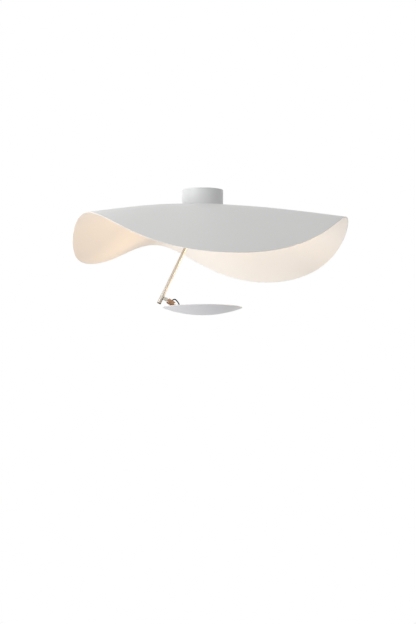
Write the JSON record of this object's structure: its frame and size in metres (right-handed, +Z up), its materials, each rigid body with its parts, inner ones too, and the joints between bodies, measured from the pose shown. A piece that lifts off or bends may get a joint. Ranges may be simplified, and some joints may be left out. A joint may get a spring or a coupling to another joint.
{
  "type": "led ceiling light",
  "caption": "Ceiling light with a wavy white sheet shade under a round canopy and a slanted stem that carries a small uplighting dish on a tilting joint.",
  "frame": {"origin": "middle of the two ceiling screw holes, on the upper face of the ceiling bracket, where the lamp meets the ceiling", "axes": "+Z up into the ceiling, +X to the right of the picture through both ceiling screws, +Y to the back; the lamp hangs below"},
  "size_m": [0.5848, 0.5627, 0.2684],
  "materials": {
    "white_lacquer": "satin white powder coat",
    "shade_lacquer": "satin white lacquer on thin sheet, warm white inside",
    "dish_lacquer": "satin white lacquer on spun sheet",
    "zinc_steel": "zinc plated",
    "nickel": "satin nickel plate",
    "brass": "turned",
    "polished_copper": "polished, red gold tone",
    "dark_brass": "aged",
    "cast_aluminium": "satin",
    "white_plastic": "moulded",
    "natural_nylon": "moulded",
    "green_board": "solder mask",
    "white_board": "white solder mask on aluminium",
    "phosphor": "silicone over phosphor",
    "opal_plastic": "frosted, lit from inside",
    "black_sleeve": "smooth sleeve",
    "brown_sleeve": "smooth sleeve"
  },
  "bodies": {
    "ceiling_mount": {"ceiling_bracket": "zinc_steel", "canopy": "white_lacquer", "canopy_screws": "nickel", "driver_case": "white_plastic", "driver_lid": "white_plastic", "driver_board": "green_board", "driver_screws": "zinc_steel", "terminal_block": "natural_nylon", "terminal_screws": "brass", "mains_leads": "brown_sleeve", "driver_lead": "black_sleeve", "threaded_tube": "zinc_steel", "tooth_washer": "zinc_steel", "tube_nut": "zinc_steel", "shade": "shade_lacquer", "seat_washer": "white_lacquer", "clamp_nut": "nickel", "spring_washer": "zinc_steel"},
    "stem_head": {"swivel_fork": "nickel"},
    "stem": {"stem_knuckle": "nickel", "pivot_screws": "nickel", "stem_rod": "nickel", "stem_lead": "black_sleeve", "stop_ring": "nickel", "end_cap": "dark_brass"},
    "dish_joint": {"swivel_sleeve": "nickel", "tilt_screw": "nickel", "tilt_nut": "nickel"},
    "reflector": {"barrel_tongue": "nickel", "barrel": "polished_copper", "reflector_arm": "white_lacquer", "lead_loop": "black_sleeve", "led_plate": "cast_aluminium", "dish": "dish_lacquer", "dish_posts": "cast_aluminium", "post_nuts": "zinc_steel", "led_board": "white_board", "led_emitter": "phosphor", "led_holder": "white_plastic", "holder_screws": "zinc_steel", "light_cover": "opal_plastic"}
  },
  "joints": [
    {"name": "stem_turn", "type": "hinge", "parent": "ceiling_mount", "child": "stem_head", "pos_m": [0, 0, -0.04135], "axis": [0, 0, 1], "range_deg": [-170, 170]},
    {"name": "stem_tilt", "type": "hinge", "parent": "stem_head", "child": "stem", "pos_m": [0, 0, -0.048], "axis": [0, 1, 0], "range_deg": [-25, 15]},
    {"name": "dish_swing", "type": "hinge", "parent": "stem", "child": "dish_joint", "pos_m": [-0.08718, 0, -0.23077], "axis": [0.4305, 0, 0.9026], "range_deg": [-60, 60]},
    {"name": "dish_tilt", "type": "hinge", "parent": "dish_joint", "child": "reflector", "pos_m": [-0.07797, 0, -0.23517], "axis": [0, 1, 0], "range_deg": [-30, 30]}
  ]
}
